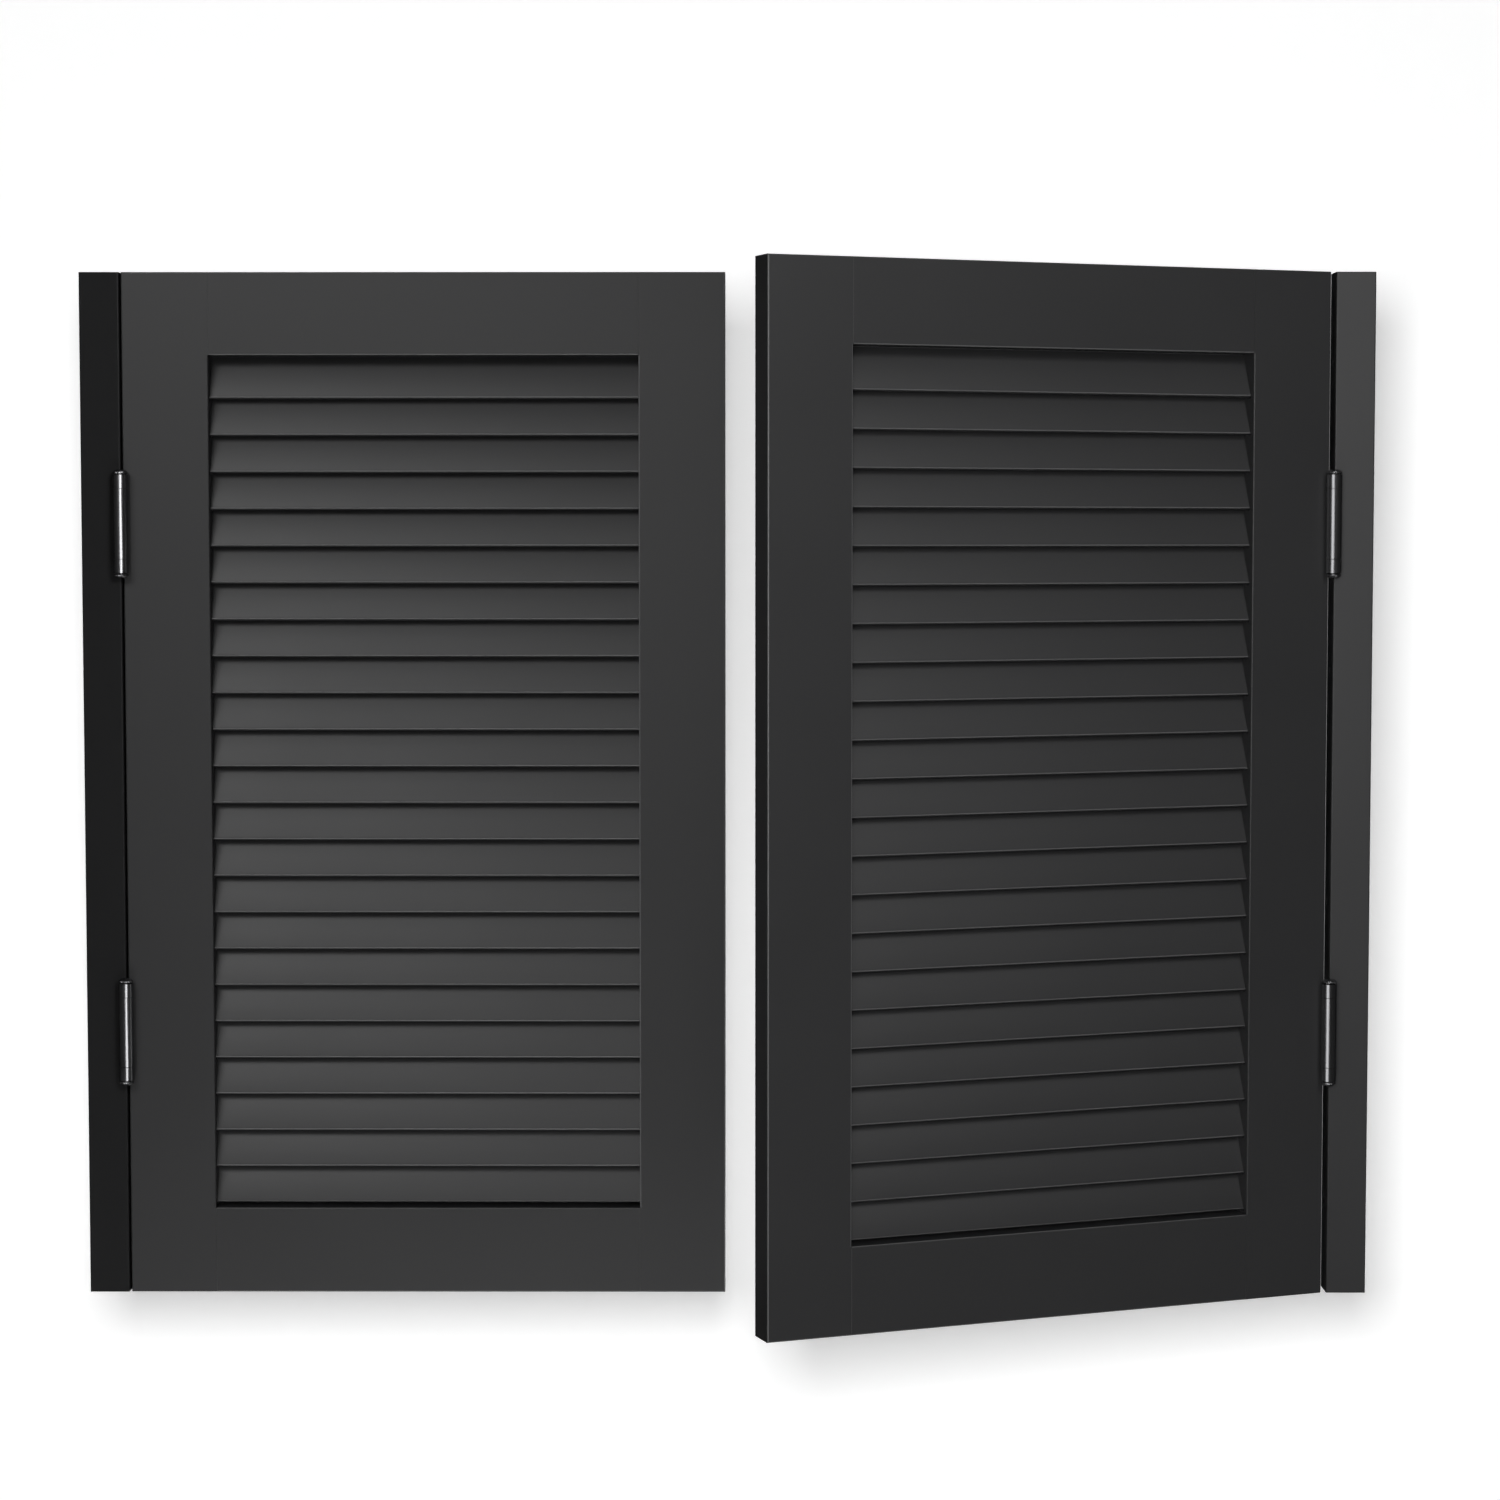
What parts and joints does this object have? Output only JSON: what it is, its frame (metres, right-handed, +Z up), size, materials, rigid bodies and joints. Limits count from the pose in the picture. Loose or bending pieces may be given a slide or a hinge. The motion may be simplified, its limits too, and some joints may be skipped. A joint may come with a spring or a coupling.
{
  "type": "double swing door",
  "caption": "Pair of black louvred cafe doors on narrow hinge strips, hung on double-action spring hinges, with the right leaf standing ajar.",
  "frame": {"origin": "middle of the left hinge strip's wall face, at mid-height and mid-thickness", "axes": "+X to the right along the opening as seen from the front, +Y to the back, +Z up"},
  "size_m": [1.342, 0.2795, 1.067],
  "materials": {
    "black_paint": "satin",
    "hinge_steel": "satin",
    "spring_steel": "satin"
  },
  "bodies": {
    "frame": {"left_hinge_strip": "black_paint", "right_hinge_strip": "black_paint", "left_upper_jamb_flange": "hinge_steel", "left_upper_front_foot_pivot": "hinge_steel", "left_lower_jamb_flange": "hinge_steel", "left_lower_front_foot_pivot": "hinge_steel", "right_upper_jamb_flange": "hinge_steel", "right_upper_front_foot_pivot": "hinge_steel", "right_lower_jamb_flange": "hinge_steel", "right_lower_front_foot_pivot": "hinge_steel"},
    "left_links": {"left_upper_centre_link": "hinge_steel", "left_upper_front_spring": "spring_steel", "left_upper_back_spring": "spring_steel", "left_lower_centre_link": "hinge_steel", "left_lower_front_spring": "spring_steel", "left_lower_back_spring": "spring_steel"},
    "left_leaf": {"left_hinge_stile": "black_paint", "left_meeting_stile": "black_paint", "left_top_rail": "black_paint", "left_bottom_rail": "black_paint", "left_slats": "black_paint", "left_upper_door_flange": "hinge_steel", "left_upper_back_foot_pivot": "hinge_steel", "left_lower_door_flange": "hinge_steel", "left_lower_back_foot_pivot": "hinge_steel"},
    "right_links": {"right_upper_centre_link": "hinge_steel", "right_upper_front_spring": "spring_steel", "right_upper_back_spring": "spring_steel", "right_lower_centre_link": "hinge_steel", "right_lower_front_spring": "spring_steel", "right_lower_back_spring": "spring_steel"},
    "right_leaf": {"right_hinge_stile": "black_paint", "right_meeting_stile": "black_paint", "right_top_rail": "black_paint", "right_bottom_rail": "black_paint", "right_slats": "black_paint", "right_upper_door_flange": "hinge_steel", "right_upper_back_foot_pivot": "hinge_steel", "right_lower_door_flange": "hinge_steel", "right_lower_back_foot_pivot": "hinge_steel"},
    "left_upper_front_cap": {"left_upper_front_tension_cap": "hinge_steel"},
    "left_upper_back_cap": {"left_upper_back_tension_cap": "hinge_steel"},
    "left_lower_front_cap": {"left_lower_front_tension_cap": "hinge_steel"},
    "left_lower_back_cap": {"left_lower_back_tension_cap": "hinge_steel"},
    "right_upper_front_cap": {"right_upper_front_tension_cap": "hinge_steel"},
    "right_upper_back_cap": {"right_upper_back_tension_cap": "hinge_steel"},
    "right_lower_front_cap": {"right_lower_front_tension_cap": "hinge_steel"},
    "right_lower_back_cap": {"right_lower_back_tension_cap": "hinge_steel"}
  },
  "joints": [
    {"name": "left_front_swing", "type": "hinge", "parent": "frame", "child": "left_links", "pos_m": [0.0425, -0.0258, 0], "axis": [0, 0, -1], "range_deg": [0, 90], "stiffness_Nm_per_rad": 4},
    {"name": "left_back_swing", "type": "hinge", "parent": "left_links", "child": "left_leaf", "pos_m": [0.0425, 0.0258, 0], "axis": [0, 0, -1], "range_deg": [-90, 0], "stiffness_Nm_per_rad": 4},
    {"name": "right_front_swing", "type": "hinge", "parent": "frame", "child": "right_links", "pos_m": [1.2995, -0.0258, 0], "axis": [0, 0, 1], "range_deg": [-21.35, 68.65], "stiffness_Nm_per_rad": 4, "springref_deg": -21.35},
    {"name": "right_back_swing", "type": "hinge", "parent": "right_links", "child": "right_leaf", "pos_m": [1.28071, 0.02226, 0], "axis": [0, 0, 1], "range_deg": [-90, 0], "stiffness_Nm_per_rad": 4},
    {"name": "left_upper_front_wind", "type": "hinge", "parent": "frame", "child": "left_upper_front_cap", "pos_m": [0.0425, -0.0258, 0.3243], "axis": [0, 0, 1], "range_deg": [0, 270]},
    {"name": "left_upper_back_wind", "type": "hinge", "parent": "left_leaf", "child": "left_upper_back_cap", "pos_m": [0.0425, 0.0258, 0.3243], "axis": [0, 0, 1], "range_deg": [0, 270]},
    {"name": "left_lower_front_wind", "type": "hinge", "parent": "frame", "child": "left_lower_front_cap", "pos_m": [0.0425, -0.0258, -0.2057], "axis": [0, 0, 1], "range_deg": [0, 270]},
    {"name": "left_lower_back_wind", "type": "hinge", "parent": "left_leaf", "child": "left_lower_back_cap", "pos_m": [0.0425, 0.0258, -0.2057], "axis": [0, 0, 1], "range_deg": [0, 270]},
    {"name": "right_upper_front_wind", "type": "hinge", "parent": "frame", "child": "right_upper_front_cap", "pos_m": [1.2995, -0.0258, 0.3243], "axis": [0, 0, 1], "range_deg": [0, 270]},
    {"name": "right_upper_back_wind", "type": "hinge", "parent": "right_leaf", "child": "right_upper_back_cap", "pos_m": [1.28071, 0.02226, 0.3243], "axis": [0, 0, 1], "range_deg": [0, 270]},
    {"name": "right_lower_front_wind", "type": "hinge", "parent": "frame", "child": "right_lower_front_cap", "pos_m": [1.2995, -0.0258, -0.2057], "axis": [0, 0, 1], "range_deg": [0, 270]},
    {"name": "right_lower_back_wind", "type": "hinge", "parent": "right_leaf", "child": "right_lower_back_cap", "pos_m": [1.28071, 0.02226, -0.2057], "axis": [0, 0, 1], "range_deg": [0, 270]}
  ]
}
